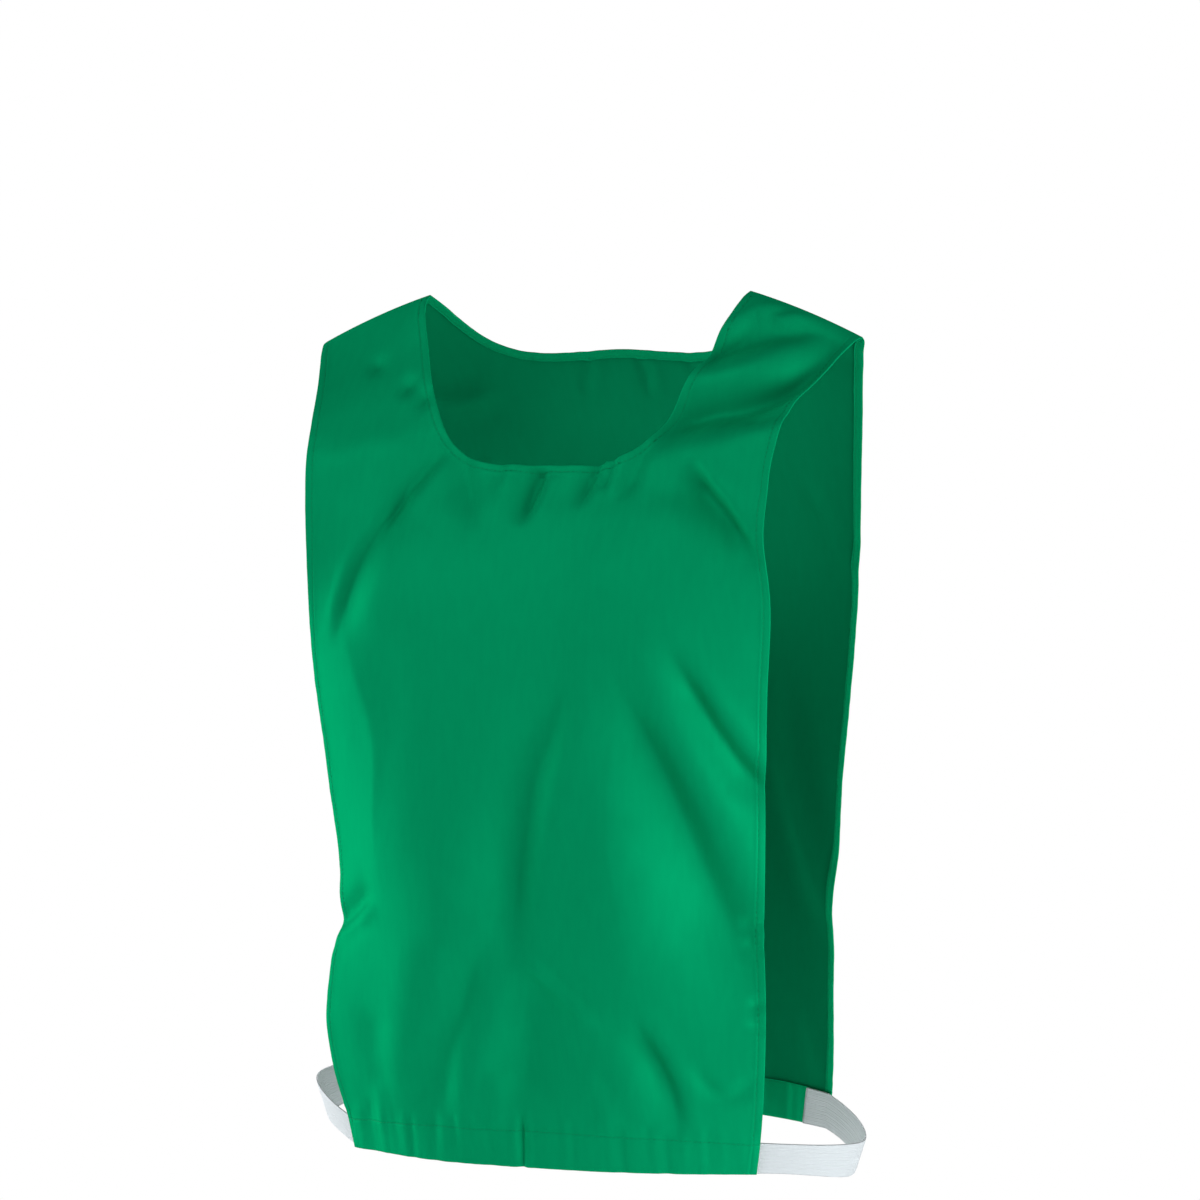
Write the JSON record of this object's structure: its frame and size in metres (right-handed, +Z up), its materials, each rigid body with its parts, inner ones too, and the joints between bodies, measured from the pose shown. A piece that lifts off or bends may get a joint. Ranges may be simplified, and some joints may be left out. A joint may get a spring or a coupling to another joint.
{
  "type": "training bib",
  "caption": "Slip-over sports bib in thin satin cloth, joined at the shoulders, open at both sides, with an elastic strap at each side of the hem.",
  "frame": {"origin": "midway between the two shoulder seams, at the height of their middles, where the wearer's shoulders carry the bib", "axes": "+X to the wearer's left, -Y to the front, +Z up along the wearer's height"},
  "size_m": [0.3723, 0.2061, 0.5382],
  "materials": {
    "bib_cloth": "satin",
    "elastic": "matt"
  },
  "bodies": {
    "root": {"front_panel": "bib_cloth", "back_panel": "bib_cloth", "front_hem_turn_up": "bib_cloth", "back_hem_turn_up": "bib_cloth", "left_strap": "elastic", "right_strap": "elastic"}
  },
  "joints": []
}
